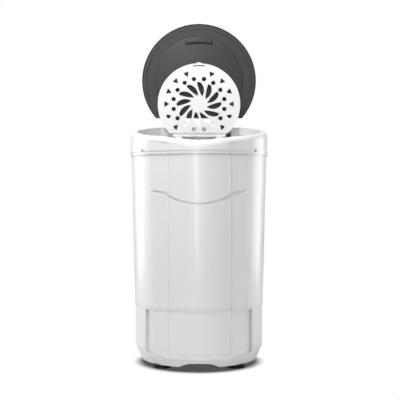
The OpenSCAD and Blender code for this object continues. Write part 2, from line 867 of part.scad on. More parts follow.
module lid_switch() {
    color(black_part) on_deck() translate([rod_x + 9, rod_v - 13, disc_floor_w - wall - 22])
        cube([12, 18, 22]);
}

module brake_pin() {
    color(steel) rotate([0, 0, rod_line]) translate([pivot_out, 0, pivot_z]) rotate([90, 0, 0])
        cylinder(r = pivot_r, h = lever_w + 12, center = true);
}

module brake_lever() {
    color(steel) rotate([0, 0, rod_line]) translate([pivot_out, 0, pivot_z]) rotate([90, 0, 0])
        difference() {
            translate([0, 0, -lever_w / 2]) linear_extrude(height = lever_w) {
                circle(r = 6);
                translate([0, -lever_t / 2]) square([rod_out - pivot_out + 5, lever_t]);
                translate([-12, 0]) square([lever_t, 24]);
                translate([-12, -3]) square([12, lever_t]);
            }
            cylinder(r = pivot_r + run_fit, h = 40, center = true);
        }
}

module brake_pad() {
    pad_in = brake_r + 0.4;
    color([0.25, 0.2, 0.17]) rotate([0, 0, rod_line]) difference() {
        translate([brake_r - 2, -12, pivot_z + 8]) cube([pivot_out - 12 - brake_r + 2, 24, 16]);
        translate([0, 0, pivot_z]) cylinder(r = pad_in, h = 40);
    }
}

// ---------- lids ----------

pocket_half = 36;
pocket_v0 = 108;
pocket_v1 = 126;
liner_t = 2.5;
liner_step_r = 130;
plateau_t = 1.8;       // the middle of the lid's inner face stands out by this
grip_cup_t = 7;        // and the back of the finger grip by this
arm_start_v = 86;

module lid_block(grow, top) {
    dome_r = (pow(lid_r, 2) + pow(lid_crown, 2)) / (2 * lid_crown);
    fillet = 6;
    edge_w = lid_crown - pow(lid_r - fillet, 2) / (2 * dome_r);
    difference() {
        rotate_extrude() {
            intersection() {
                translate([0, top + lid_crown - dome_r]) circle(r = dome_r, $fn = 200);
                translate([0, -lid_depth]) square([lid_r - fillet + grow, far]);
            }
            translate([0, -lid_depth]) square([lid_r + grow, lid_depth + top + edge_w - fillet]);
            translate([lid_r - fillet + grow, top + edge_w - fillet]) circle(r = fillet);
        }
        translate([-far, lid_chord + grow, -far]) cube([2 * far, far, 2 * far]);
    }
}

module closed_lid() {
    difference() {
        lid_block(0, 0);
        translate([0, 0, -wall]) intersection() {
            lid_block(-wall, 0);
            translate([0, 0, -lid_depth]) cylinder(r = far, h = far);
        }
        translate([0, 0, -lid_depth - 1]) difference() {
            cylinder(r = lid_r - wall, h = 2);
            translate([-far, lid_chord - wall, -far]) cube([2 * far, far, 2 * far]);
        }
    }
}

module lid_shell() {
    color(lid_grey) swung_open(lid_hinge_v, lid_hinge_w, lid_open) difference() {
        union() {
            closed_lid();
            // cup of the finger grip
            intersection() {
                translate([-pocket_half - wall, -pocket_v1 - wall, -lid_depth + liner_t + 0.1])
                    cube([2 * (pocket_half + wall), pocket_v1 - pocket_v0 + 2 * wall, lid_depth]);
                lid_block(0, 0);
            }
        }
        translate([-pocket_half, -pocket_v1, -lid_depth + liner_t + wall])
            cube([2 * pocket_half, pocket_v1 - pocket_v0, far]);
    }
}

module liner_outline(r, chord) {
    difference() {
        circle(r = r);
        translate([-far, chord]) square([2 * far, far]);
    }
}

module lid_liner() {
    r = lid_r - wall - 0.1;
    bead_r = r - 9;
    color(lid_grey) swung_open(lid_hinge_v, lid_hinge_w, lid_open) difference() {
        union() {
            translate([0, 0, -lid_depth]) linear_extrude(height = liner_t)
                liner_outline(r, lid_chord - wall - 0.1);
            translate([0, 0, -lid_depth - plateau_t]) linear_extrude(height = plateau_t + 1)
                liner_outline(liner_step_r, 84);
            // back of the finger grip
            translate([0, 0, -lid_depth - grip_cup_t]) linear_extrude(height = grip_cup_t + 1)
                grip_cup();
            // bead along the rim
            translate([0, 0, -lid_depth - 1]) linear_extrude(height = 2) difference() {
                liner_outline(bead_r, lid_chord - 12);
                liner_outline(bead_r - 2.5, lid_chord - 14.5);
                for (side = [-1, 1]) translate([side * arm_x - arm_w / 2 - 0.5, arm_start_v - 0.5])
                    square([arm_w + 1, far]);
            }
        }
        for (side = [-1, 1], v = [92, 102]) translate([side * arm_x, v, -lid_depth - 3])
            cylinder(d = 3.2, h = liner_t + 4);
    }
}

// Outline of the grip's back: straight above, its lower edge a little bowed
module grip_cup() {
    half = pocket_half + 2;
    bow_r = 190;
    corner = 4;
    intersection() {
        translate([-half, -pocket_v1]) square([2 * half, pocket_v1 - pocket_v0 + 4]);
        translate([0, -pocket_v0 + 1 - bow_r]) circle(r = bow_r, $fn = 200);
    }
    for (side = [-1, 1]) translate([side * (half - corner / 2), -pocket_v0 - 8]) circle(r = corner);
}

// Side piece of the right-hand arm that presses the interlock's plunger
module striker() {
    root_x = arm_x + arm_w / 2 - 1;
    translate([0, rod_v - 6, 0]) rotate([90, 0, 0]) translate([0, 0, -10]) linear_extrude(height = 10)
        polygon([[root_x, lid_hinge_w - arm_bar], [root_x, lid_hinge_w], [rod_x + 6, lid_hinge_w],
            [rod_x + 6, striker_w], [rod_x - 5, striker_w], [rod_x - 5, lid_hinge_w - arm_bar]]);
}

module hinge_arms() {
    barrel_r = 8;
    color(lid_grey) swung_open(lid_hinge_v, lid_hinge_w, lid_open) difference() {
        union() {
            for (side = [-1, 1]) translate([side * arm_x - arm_w / 2, 0, 0]) rotate([90, 0, 90])
                linear_extrude(height = arm_w) {
                    translate([lid_hinge_v, lid_hinge_w]) circle(r = barrel_r);
                    translate([arm_start_v, lid_hinge_w - arm_bar])
                        square([lid_hinge_v - arm_start_v, arm_bar]);
                }
            striker();
        }
        translate([-far, lid_hinge_v, lid_hinge_w]) rotate([0, 90, 0])
            cylinder(d = lid_pin_d + 2 * run_fit, h = 2 * far);
        for (side = [-1, 1], v = [92, 102]) translate([side * arm_x, v, -lid_depth - 7])
            cylinder(d = 3.2, h = 8);
    }
}

module arm_screws() {
    color(steel) swung_open(lid_hinge_v, lid_hinge_w, lid_open)
        for (side = [-1, 1], v = [92, 102]) translate([side * arm_x, v, -lid_depth - 6]) {
            translate([0, 0, -1.5]) cylinder(d = 6, h = 1.5);
            cylinder(d = 3, h = 8.5);
        }
}

module lid_hinge_pins() {
    half = arm_w / 2 + ear_gap + ear_t;
    color(steel) on_deck() for (side = [-1, 1])
        translate([side * arm_x, lid_hinge_v, lid_hinge_w]) rotate([0, 90, 0])
            cylinder(d = lid_pin_d, h = 2 * half, center = true);
}

module disc_hinge_pins() {
    half = disc_knuckle_w / 2 + 0.5 + ear_t;
    color(steel) on_deck() for (side = [-1, 1])
        translate([side * disc_knuckle_x, disc_hinge_v, disc_hinge_w]) rotate([0, 90, 0])
            cylinder(d = disc_pin_d, h = 2 * half, center = true);
}

// Centre of the circle of radius r through a and b, on the left hand when going from a to b
function arc_centre(a, b, r) =
    let (m = (a + b) / 2, d = b - a, half = norm(d) / 2, n = [-d[1], d[0]] / norm(d))
    m + n * sqrt(r * r - half * half);

petal_tip = [9.1, 21.8];
petal_shoulder = [3, 65];
petal_heel = [-5.4, 61.6];
petal_back_r = 32;
petal_belly_r = 119;
petal_end_r = 65;

// One leaf of the swirl, with the free edge of the lid up
module petal() {
    intersection() {
        translate(arc_centre(petal_tip, petal_shoulder, petal_back_r)) circle(r = petal_back_r);
        translate(arc_centre(petal_heel, petal_tip, petal_belly_r)) circle(r = petal_belly_r, $fn = 160);
        circle(r = petal_end_r);
    }
}

tri_centre_r = 96;
tri_side = 18;
tri_corner_r = 8.4;

module rounded_triangle() {
    intersection() {
        circle(r = tri_side / sqrt(3), $fn = 3);
        circle(r = tri_corner_r);
    }
}

module lid_pattern() {
    for (i = [0 : petals - 1]) rotate(-i * 360 / petals) petal();
    for (i = [0 : ring_holes - 1]) rotate((i + 0.5) * 360 / ring_holes)
        translate([0, 75.2]) circle(d = ring_hole_d);
    for (k = [1 : 6], side = [-1, 1]) rotate(side * k * 22.5)
        translate([0, tri_centre_r]) rotate(-90) rounded_triangle();
    // finger slot at the free edge
    difference() {
        circle(r = 115.5);
        circle(r = 112);
        translate([-far, -far]) square([2 * far, far]);
        for (side = [0, 1]) mirror([side, 0]) translate([17.5, 0]) square([far, far]);
    }
}

disc_cut_v = 86;
leaf_half = 77;

disc_base_w = disc_floor_w + 0.3;
leaf_step = 1.5;
leaf_t = disc_t + 0.5;

// The flat disc with its pattern, finger tab and slot, the hinge side cut straight
module disc_plate() {
    translate([0, 0, disc_base_w]) linear_extrude(height = disc_t) mirror([0, 1]) difference() {
        union() {
            circle(r = disc_r);
            translate([0, disc_r - 12]) circle(r = 15);
        }
        lid_pattern();
        translate([-far, -far]) square([2 * far, far - disc_cut_v]);
    }
}

module disc_rim() {
    translate([0, 0, disc_base_w + 1]) difference() {
        ring(disc_r - 0.4, disc_r - 3.5, disc_t + 1);
        translate([-far, disc_cut_v, -far]) cube([2 * far, far, 2 * far]);
    }
}

module disc_knuckle() {
    translate([-disc_knuckle_w / 2, 0, 0]) rotate([90, 0, 90]) linear_extrude(height = disc_knuckle_w)
        difference() {
            union() {
                translate([disc_hinge_v, disc_hinge_w]) circle(r = knuckle_r - 0.3);
                translate([disc_cut_v + 6, disc_base_w + leaf_step])
                    square([disc_hinge_v - disc_cut_v - 8, leaf_t - 0.5]);
            }
            translate([disc_hinge_v, disc_hinge_w]) circle(d = disc_pin_d + 2 * run_fit);
        }
}

module inner_lid() {
    color(white_body) swung_open(disc_hinge_v, disc_hinge_w, disc_open) {
        disc_plate();
        disc_rim();
        translate([-leaf_half, disc_cut_v - 2, disc_base_w + leaf_step]) cube([2 * leaf_half, 12, leaf_t]);
        for (side = [-1, 1]) translate([side * disc_knuckle_x, 0, 0]) disc_knuckle();
    }
}

// ---------- drum ----------

hub_r = 45;
hub_h = 9;
basket_rows = 7;
basket_cols = 12;
basket_hole_d = 8;

module basket() {
    color(steel) difference() {
        translate([0, 0, basket_z]) cylinder(r = basket_r, h = basket_h);
        translate([0, 0, basket_z + 2.5]) cylinder(r = basket_r - basket_wall, h = far);
        translate([0, 0, basket_z - 1]) cylinder(r = shaft_r + seat_fit, h = 10);
        for (row = [0 : basket_rows - 1])
            around(basket_cols, row % 2 * 180 / basket_cols)
                translate([basket_r - 10, 0, basket_z + 30 + row * (basket_h - 60) / (basket_rows - 1)])
                    rotate([0, 90, 0]) cylinder(d = basket_hole_d, h = 20);
    }
}

module balance_ring() {
    color(tub_white) translate([0, 0, basket_z + basket_h]) rotate_extrude() {
        translate([mouth_r + 6, ring_h / 2]) circle(r = ring_h / 2);
        translate([mouth_r + 6, 0]) square([basket_r - mouth_r - 9, ring_h]);
        translate([basket_r - 3, 0]) square([3, ring_h - 3]);
        translate([basket_r - 3, ring_h - 3]) circle(r = 3);
    }
}

module basket_hub() {
    color(black_part) translate([0, 0, basket_z - hub_h]) difference() {
        union() {
            cylinder(r = hub_r, h = hub_h);
            translate([0, 0, -5]) cylinder(r = 16, h = 6);
        }
        translate([0, 0, -7]) cylinder(r = shaft_r + seat_fit, h = 20);
    }
}

module hub_nut() {
    color(steel) translate([0, 0, basket_z + 2.5]) difference() {
        cylinder(r = 15, h = 10, $fn = 6);
        translate([0, 0, -1]) cylinder(r = shaft_r + seat_fit, h = 12);
    }
}

module drive_shaft() {
    color(steel) translate([0, 0, shaft_bottom - 4.5])
        cylinder(r = shaft_r, h = basket_z + 18 - shaft_bottom + 4.5);
}

module brake_drum() {
    color([0.4, 0.4, 0.42]) translate([0, 0, brake_z]) difference() {
        cylinder(r = brake_r, h = brake_h);
        translate([0, 0, 5]) ring(brake_r - 4, 16, brake_h);
        translate([0, 0, -1]) cylinder(r = shaft_r + seat_fit, h = brake_h + 2);
    }
}

module rotor() {
    color([0.5, 0.5, 0.52]) translate([0, 0, can_z + 22]) ring(rotor_r, shaft_r + seat_fit, rotor_h);
}

// ---------- nodes ----------

base_shell();
base_pan();
cabinet_shell();
top_cover();
feet();
foot_screws();
cover_screws();
cabinet_screws();
outer_tub();
tub_gasket();
tub_screws();
shaft_seal();
drain_hose();
drain_spout();
cable_gland();
motor_plate();
rubber_mounts();
mount_nuts();
motor_can();
stator();
motor_bearings();
capacitor();
capacitor_clip();
interlock_tower();
rod_guide();
lid_switch();
brake_pin();
lid_hinge_pins();
disc_hinge_pins();
lid_shell();
lid_liner();
hinge_arms();
arm_screws();
inner_lid();
basket();
balance_ring();
basket_hub();
hub_nut();
drive_shaft();
brake_drum();
rotor();
brake_lever();
brake_pad();
interlock_rod();
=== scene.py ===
# %% [markdown]
# # Laundry spin dryer
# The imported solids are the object: a tapered white machine on black feet, with its dark outer
# lid and its white inner lid both standing open. This lesson dresses them. It gives every
# moulded, rubber and metal piece a procedural material, adds the few pieces that are too fine
# for the solids, and sets a pale floor, soft light and a camera at the photographed angle.

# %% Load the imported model
import json
import math

import bmesh
import bpy
from mathutils import Matrix, Vector


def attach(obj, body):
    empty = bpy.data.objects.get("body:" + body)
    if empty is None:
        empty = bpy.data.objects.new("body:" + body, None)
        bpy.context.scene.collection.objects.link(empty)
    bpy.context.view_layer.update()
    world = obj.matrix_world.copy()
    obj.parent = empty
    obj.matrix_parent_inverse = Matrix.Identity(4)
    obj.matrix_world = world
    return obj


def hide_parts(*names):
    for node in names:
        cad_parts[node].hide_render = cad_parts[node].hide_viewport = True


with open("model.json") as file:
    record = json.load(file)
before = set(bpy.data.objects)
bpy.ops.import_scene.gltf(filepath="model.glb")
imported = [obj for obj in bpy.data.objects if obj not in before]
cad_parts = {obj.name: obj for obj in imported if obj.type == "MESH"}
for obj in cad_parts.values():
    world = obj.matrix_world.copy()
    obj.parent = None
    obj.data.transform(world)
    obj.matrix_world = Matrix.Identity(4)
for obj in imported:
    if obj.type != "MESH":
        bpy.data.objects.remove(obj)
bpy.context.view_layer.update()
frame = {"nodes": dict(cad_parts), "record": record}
nodes = frame["nodes"]

# %% [markdown]
# ## Shared effects
# No moulding is one flat colour. Its tint drifts slowly across it, and its skin has a fine
# grain. A picture of plastic would need unwrapped faces, so both come from noise in the
# object's own coordinates. Every material needs them, so each is a node group, built once:
# "Mottle" puts out a slow cloud and a fine grain, and "Moulded skin" turns a height, such as
# the grain, into a surface normal.


# %% Node helpers
def add(tree, kind, x=0, y=0, **values):
    """Adds a node, sets its plain values, and returns it."""
    node = tree.nodes.new(kind)
    node.location = (x, y)
    for key, value in values.items():
        setattr(node, key, value)
    return node


def link(tree, start, end):
    tree.links.new(start, end)


def set_inputs(node, **values):
    """Sets sockets by name, with _ for each space: From_Min is From Min."""
    for key, value in values.items():
        node.inputs[key.replace("_", " ")].default_value = value


def group(name, inputs, outputs):
    """Makes an empty group: inputs are number sockets with a default, outputs have a type."""
    tree = bpy.data.node_groups.new(name, "ShaderNodeTree")
    for label, default in inputs.items():
        socket = tree.interface.new_socket(name=label, in_out="INPUT",
                                           socket_type="NodeSocketFloat")
        socket.default_value = default
    for label, kind in outputs.items():
        tree.interface.new_socket(name=label, in_out="OUTPUT", socket_type=kind)
    return tree, add(tree, "NodeGroupInput", -900), add(tree, "NodeGroupOutput", 600)


# %% Mottle: a slow cloud and a fine grain
def make_mottle():
    tree, source, out = group(
        "Mottle", {"Cloud scale": 8.0, "Grain scale": 900.0},
        {"Cloud": "NodeSocketFloat", "Grain": "NodeSocketFloat"})
    place = add(tree, "ShaderNodeTexCoord", -700, 200)
    for label, detail, y in (("Cloud", 4, 200), ("Grain", 2, -150)):
        noise = add(tree, "ShaderNodeTexNoise", -300, y)
        set_inputs(noise, Detail=detail)
        link(tree, place.outputs["Object"], noise.inputs["Vector"])
        link(tree, source.outputs[label + " scale"], noise.inputs["Scale"])
        link(tree, noise.outputs["Fac"], out.inputs[label])
    return tree


mottle = make_mottle()
print("group:", mottle.name, "with", len(mottle.nodes), "nodes")


# %% Moulded skin: a height as a surface normal
def make_skin():
    tree, source, out = group(
        "Moulded skin", {"Height": 0.5, "Strength": 0.1, "Depth": 0.0001},
        {"Normal": "NodeSocketVector"})
    bump = add(tree, "ShaderNodeBump")
    for label, socket in (("Height", "Height"), ("Strength", "Strength"), ("Depth", "Distance")):
        link(tree, source.outputs[label], bump.inputs[socket])
    link(tree, bump.outputs["Normal"], out.inputs["Normal"])
    return tree


skin = make_skin()
print("group:", skin.name, "with", len(skin.nodes), "nodes")

# %% [markdown]
# ## Materials
# The machine's colours are those of its mouldings: satin white covers, a dark grey lid, black
# feet, and steel, iron and paint inside. Each could have a shader of its own, but they differ
# only in numbers. So one recipe serves them all: two shades that the cloud mixes, a roughness
# that the cloud moves a little, and the grain as relief. Spun, brushed and wound metal takes
# noise drawn out along one direction in place of the grain.


# %% Lines of spun, brushed and wound metal
def drawn_out(tree, stretch):
    """Noise with its own scale, in waves a metre, on each axis."""
    place = add(tree, "ShaderNodeTexCoord", -1300, -500)
    pull = add(tree, "ShaderNodeMapping", -1100, -500)
    set_inputs(pull, Scale=stretch)
    noise = add(tree, "ShaderNodeTexNoise", -900, -500)
    set_inputs(noise, Scale=1, Detail=3)
    link(tree, place.outputs["Object"], pull.inputs["Vector"])
    link(tree, pull.outputs["Vector"], noise.inputs["Vector"])
    return noise.outputs["Fac"]


# %% The common recipe
CLOUD_LOW, CLOUD_HIGH = 0.3, 0.7  # the noise hardly leaves this range
COAT_ROUGHNESS = 0.08


def surface(name, dark, light, rough, cloud, grain, bump, depth, metal=0.0, coat=0.0,
            stretch=None, gloss=0.5):
    """A material whose colour and roughness follow the cloud, with a grained surface."""
    mat = bpy.data.materials.new(name)
    mat.use_nodes = True
    tree = mat.node_tree
    shader = tree.nodes["Principled BSDF"]
    set_inputs(shader, Metallic=metal, Coat_Weight=coat, Coat_Roughness=COAT_ROUGHNESS,
               Specular_IOR_Level=gloss)
    noise = add(tree, "ShaderNodeGroup", -900, 0, node_tree=mottle)
    set_inputs(noise, Cloud_scale=cloud, Grain_scale=grain)
    shade = add(tree, "ShaderNodeMix", -500, 200, data_type="RGBA")
    set_inputs(shade, A=(*dark, 1), B=(*light, 1))
    link(tree, noise.outputs["Cloud"], shade.inputs["Factor"])
    link(tree, shade.outputs["Result"], shader.inputs["Base Color"])
    dull = add(tree, "ShaderNodeMapRange", -500, -50)
    set_inputs(dull, From_Min=CLOUD_LOW, From_Max=CLOUD_HIGH, To_Min=rough[0], To_Max=rough[1])
    link(tree, noise.outputs["Cloud"], dull.inputs["Value"])
    link(tree, dull.outputs["Result"], shader.inputs["Roughness"])
    relief = add(tree, "ShaderNodeGroup", -500, -300, node_tree=skin)
    set_inputs(relief, Strength=bump, Depth=depth)
    height = drawn_out(tree, stretch) if stretch else noise.outputs["Grain"]
    link(tree, height, relief.inputs["Height"])
    link(tree, relief.outputs["Normal"], shader.inputs["Normal"])
    return mat


# %% The finishes: one for each slot of the record, and dull zinc for screws in the open
# dark and light are the two shades, rough the least and the most roughness, cloud and grain
# the scales of the noise, and bump and depth the relief's strength and its depth in metres.
finishes = {
    "body_white": dict(dark=(0.61, 0.61, 0.615), light=(0.64, 0.64, 0.645), rough=(0.33, 0.39),
                       cloud=5, grain=700, bump=0.05, depth=0.0001, coat=0.15),
    "inner_white": dict(dark=(0.60, 0.60, 0.60), light=(0.63, 0.63, 0.63), rough=(0.34, 0.42),
                        cloud=9, grain=900, bump=0.08, depth=0.0001),
    "lid_grey": dict(dark=(0.020, 0.020, 0.021), light=(0.026, 0.026, 0.027), rough=(0.42, 0.50),
                     cloud=7, grain=1500, bump=0.22, depth=0.0002, gloss=0.38),
    "black_plastic": dict(dark=(0.012, 0.012, 0.012), light=(0.02, 0.02, 0.02),
                          rough=(0.38, 0.48), cloud=20, grain=1500, bump=0.2, depth=0.0001),
    "rubber": dict(dark=(0.006, 0.006, 0.006), light=(0.014, 0.014, 0.014), rough=(0.65, 0.8),
                   cloud=30, grain=1200, bump=0.3, depth=0.0002, gloss=0.12),
    "tub_white": dict(dark=(0.66, 0.67, 0.69), light=(0.74, 0.75, 0.77), rough=(0.45, 0.55),
                      cloud=9, grain=800, bump=0.1, depth=0.0001),
    "steel": dict(dark=(0.48, 0.49, 0.51), light=(0.60, 0.61, 0.63), rough=(0.22, 0.34),
                  cloud=14, grain=800, bump=0.15, depth=0.0001, metal=1.0,
                  stretch=(60, 60, 2500)),
    "motor_paint": dict(dark=(0.05, 0.055, 0.06), light=(0.08, 0.085, 0.09), rough=(0.35, 0.5),
                        cloud=12, grain=700, bump=0.2, depth=0.0002),
    "copper_wound": dict(dark=(0.20, 0.08, 0.03), light=(0.34, 0.15, 0.06), rough=(0.35, 0.5),
                         cloud=25, grain=700, bump=0.5, depth=0.0004, metal=0.6,
                         stretch=(500, 500, 2500)),
    "pad": dict(dark=(0.06, 0.045, 0.035), light=(0.11, 0.09, 0.07), rough=(0.8, 0.95),
                cloud=60, grain=1500, bump=0.5, depth=0.0003),
    "capacitor": dict(dark=(0.55, 0.55, 0.57), light=(0.68, 0.68, 0.70), rough=(0.25, 0.35),
                      cloud=20, grain=800, bump=0.1, depth=0.0001, metal=1.0,
                      stretch=(40, 40, 2000)),
    "iron": dict(dark=(0.10, 0.10, 0.105), light=(0.17, 0.17, 0.175), rough=(0.45, 0.6),
                 cloud=30, grain=900, bump=0.3, depth=0.0002, metal=1.0, stretch=(60, 60, 3000)),
    "dull_zinc": dict(dark=(0.16, 0.16, 0.17), light=(0.24, 0.24, 0.25), rough=(0.4, 0.55),
                      cloud=40, grain=900, bump=0.2, depth=0.0001, metal=0.8),
}
materials = {name: surface(name, **recipe) for name, recipe in finishes.items()}
print("materials:", len(materials))

# %% Put a finish on every solid
outside_screws = ("cover_screws", "cabinet_screws", "foot_screws")
for part in frame["record"]["subparts"]:
    mesh = nodes[part["node"]].data
    mesh.materials.clear()
    finish = "dull_zinc" if part["node"] in outside_screws else part["material_slot"]
    mesh.materials.append(materials[finish])

# %% [markdown]
# ## Fine pieces
# The solids leave out what is thinner than a moulding. Each piece here is a mesh built from
# the same sizes as the solid that it sits on, and it rides on that solid's body. A curve with
# a bevel could carry a bead round the lid, but not the stepped face or the strips. Rings of
# points joined into a skin make all of them, so one helper serves every piece.

# %% Helpers: a skin over rings of points, and a mesh shown as a piece
SHARP_EDGE = math.radians(35)


def swept(name, rings, closed=False):
    """Joins equal rings of points into one skin; an open sweep gets two caps."""
    mesh = bmesh.new()
    rings = [[mesh.verts.new(point) for point in ring] for ring in rings]
    following = rings[1:] + rings[:1] if closed else rings[1:]
    for here, there in zip(rings, following):
        for i in range(len(here)):
            j = (i + 1) % len(here)
            mesh.faces.new((here[i], here[j], there[j], there[i]))
    if not closed:
        mesh.faces.new(reversed(rings[0]))
        mesh.faces.new(rings[-1])
    bmesh.ops.recalc_face_normals(mesh, faces=mesh.faces)
    data = bpy.data.meshes.new(name)
    mesh.to_mesh(data)
    mesh.free()
    return data


def place_piece(name, data, body, slot, smooth=True):
    """Shows a mesh as a piece that rides on a body and has one of the record's finishes."""
    for face in data.polygons:
        face.use_smooth = smooth
    if smooth:
        data.set_sharp_from_angle(angle=SHARP_EDGE)
    piece = bpy.data.objects.new(name, data)
    bpy.context.scene.collection.objects.link(piece)
    data.materials.append(materials[slot])
    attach(piece, body)
    print(name, "faces:", len(data.polygons))
    return piece


# %% [markdown]
# ### The outer lid's place
# The outer lid is easiest to measure shut, lying in the slanted top of the body: x to the
# right, v to the rear and w up, with the body's rim at w = 0. The scene needs it open. One
# matrix slants the deck and swings the lid up about its hinge, so each piece of the lid keeps
# its plain flat sizes.

# %% From the shut lid's coordinates to the open lid in the scene
DECK_HEIGHT, DECK_SLOPE = 0.6345, math.radians(9.8)
LID_HINGE = Vector((0, 0.150, -0.013))
LID_OPEN = math.radians(99.8)
FACE_W = LID_HINGE.z  # the lid's inner face lies level with its hinge

on_deck = Matrix.Translation((0, 0, DECK_HEIGHT)) @ Matrix.Rotation(DECK_SLOPE, 4, "X")
opened = (on_deck @ Matrix.Translation(LID_HINGE) @ Matrix.Rotation(-LID_OPEN, 4, "X")
          @ Matrix.Translation(-LID_HINGE))


def on_open_lid(x, v, w):
    return opened @ Vector((x, v, w))


print("lid hinge at", [round(c, 3) for c in on_open_lid(*LID_HINGE)])

# %% Paths round the lid, and a bead along a path
RIM_STEPS, BEAD_STEPS = 160, 6


def rim(radius, chord):
    """Places round a circle cut off at v = chord by the hinge's straight edge, with the
    direction outwards at each."""
    end = math.asin(chord / radius)
    turns = [end - (math.pi + 2 * end) * k / RIM_STEPS for k in range(RIM_STEPS + 1)]
    return [(radius * Vector((math.cos(a), math.sin(a))), Vector((math.cos(a), math.sin(a))))
            for a in turns]


def bead_rings(path, half, w, rise):
    """Half round sections that stand off the lid's inner face, one at each place of a path."""
    turns = [math.pi * k / BEAD_STEPS for k in range(BEAD_STEPS + 1)]
    rings = []
    for place, outward in path:
        flats = [place + outward * half * math.cos(a) for a in turns]
        rings.append([on_open_lid(*flat, w - rise * math.sin(a)) for flat, a in zip(flats, turns)])
    return rings


# %% [markdown]
# ### The soft edge of the outer lid
# A thin line of shade runs all round the grey lid, where a soft edge meets the ledge of the well.
# A dark band in the lid's material could paint it, but it would stay flat and would need a mask.
# A half round bead 2.2 mm wide on the lid's rim paints the shade darker than the lid, and still
# catches light.

# %% Soft edge, a bead whose dark finish is painted shade
EDGE_RADIUS, EDGE_CHORD = 0.1670, 0.1095
EDGE_HALF, EDGE_RISE = 0.0011, 0.0008

edge = bead_rings(rim(EDGE_RADIUS, EDGE_CHORD), EDGE_HALF, FACE_W, EDGE_RISE)
# painted shade: the dark rubber finish darkens the lid's rim beyond the lid's own grey
place_piece("lid_edge_painted_shade", swept("lid_edge_painted_shade", edge), "outer_lid", "rubber")

# %% [markdown]
# ### The outer lid's inner face
# The inner face is a plate with a raised middle, a bead along its rim and a finger grip at its
# front. The solid has square edges there, and its grip's lower edge bows the other way. A
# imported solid's mesh is never edited, so this piece takes its place. Each level is a stack of
# rings that turns in over a rounded edge, which catches the light as the real moulding does.

# %% Sizes of the plate, the raised middle and the bead
PLATE_RADIUS, PLATE_CHORD, PLATE_DEEP = 0.1654, 0.1069, 0.0025
MIDDLE_RADIUS, MIDDLE_CHORD, MIDDLE_RISE, MIDDLE_ROUND = 0.130, 0.084, 0.0026, 0.0022
BEAD_RADIUS, BEAD_CHORD, BEAD_HALF, BEAD_RISE = 0.15515, 0.09675, 0.00125, 0.0012
ARM_INNER, ARM_OUTER = 0.0545, 0.0755  # the bead stops on either side of each hinge arm
ROOT = 0.001  # how far a raised level reaches into the plate
BEAD_ROOT = 0.0002  # how far a bead's foot lies in the face under it
ROUND_STEPS = 4


def lid_outline(radius, chord, w):
    return [on_open_lid(*place, w) for place, _ in rim(radius, chord)]


def rounded_rise(low, high, ring_at, round_off):
    """Rings that go up from low to high and then turn in over a rounded edge."""
    rings = [ring_at(0.0, low), ring_at(0.0, high + round_off)]
    for k in range(1, ROUND_STEPS + 1):
        a = math.pi / 2 * k / ROUND_STEPS
        rings.append(ring_at(round_off * (1 - math.cos(a)),
                             high + round_off * (1 - math.sin(a))))
    return rings


# %% Plate and raised middle
def middle_ring(inset, w):
    return lid_outline(MIDDLE_RADIUS - inset, MIDDLE_CHORD - inset, w)


plate = swept("plate", [lid_outline(PLATE_RADIUS, PLATE_CHORD, FACE_W + PLATE_DEEP),
                        lid_outline(PLATE_RADIUS, PLATE_CHORD, FACE_W)])
middle = swept("middle", rounded_rise(FACE_W + ROOT, FACE_W - MIDDLE_RISE, middle_ring,
                                      MIDDLE_ROUND))
print("plate and middle faces:", len(plate.polygons), len(middle.polygons))


# %% Bead along the rim, and along the straight edge between the hinge arms
def straight(x0, x1, steps=8):
    return [(Vector((x0 + (x1 - x0) * k / steps, BEAD_CHORD)), Vector((0, 1)))
            for k in range(steps + 1)]


bead_corner = math.sqrt(BEAD_RADIUS**2 - BEAD_CHORD**2)
bead_paths = (rim(BEAD_RADIUS, BEAD_CHORD), straight(ARM_OUTER, bead_corner),
              straight(-bead_corner, -ARM_OUTER), straight(-ARM_INNER, ARM_INNER))
beads = [swept("bead", bead_rings(path, BEAD_HALF, FACE_W + BEAD_ROOT, BEAD_RISE))
         for path in bead_paths]
print("beads:", len(beads))

# %% Finger grip: straight at its top, bowed below, its corners rounded
GRIP_HALF, GRIP_TOP, GRIP_FOOT, GRIP_BOW, GRIP_RISE = 0.038, -0.126, -0.1085, 0.0042, 0.007
GRIP_CORNER, GRIP_TOP_CUT, GRIP_ROUND = 0.0025, 0.0015, 0.0012
CORNER_STEPS, BOW_STEPS = 4, 24


def grip_ring(inset, w):
    """Outline of the grip at one level: the top, one corner, the bow and the other corner."""
    half, top, foot = GRIP_HALF - inset, GRIP_TOP + inset, GRIP_FOOT - inset
    corner, bow = [], []
    for k in range(CORNER_STEPS + 1):
        a = math.pi / 2 * k / CORNER_STEPS
        corner.append((half - GRIP_CORNER * (1 - math.cos(a)),
                       foot - GRIP_CORNER * (1 - math.sin(a))))
    for k in range(1, BOW_STEPS):
        x = (half - GRIP_CORNER) * (1 - 2 * k / BOW_STEPS)
        bow.append((x, foot - GRIP_BOW * (1 - (x / half)**2)))
    ring = [(-half + GRIP_TOP_CUT, top), (half - GRIP_TOP_CUT, top), *corner, *bow]
    ring += [(-x, v) for x, v in reversed(corner)]
    return [on_open_lid(x, v, w) for x, v in ring]


grip = swept("grip", rounded_rise(FACE_W + ROOT, FACE_W - GRIP_RISE, grip_ring, GRIP_ROUND))
print("grip faces:", len(grip.polygons))

# %% [markdown]
# ### Painted shadow round the grip
# A thin line of shade follows the sides and the bowed foot of the real grip, in the corner where
# it meets the face. A darker material on a few faces would break where the rings change, so
# the painted shadow is a black bead of its own along the grip's outline.

# %% Painted shadow: a black bead in the corner beside and under the grip
GRIP_SHADOW_HALF, GRIP_SHADOW_RISE, GRIP_SHADOW_CLEAR = 0.0011, 0.0014, 0.0006
GRIP_SHADOW_SIDE, GRIP_SHADOW_LEAN = 0.0115, 0.0006


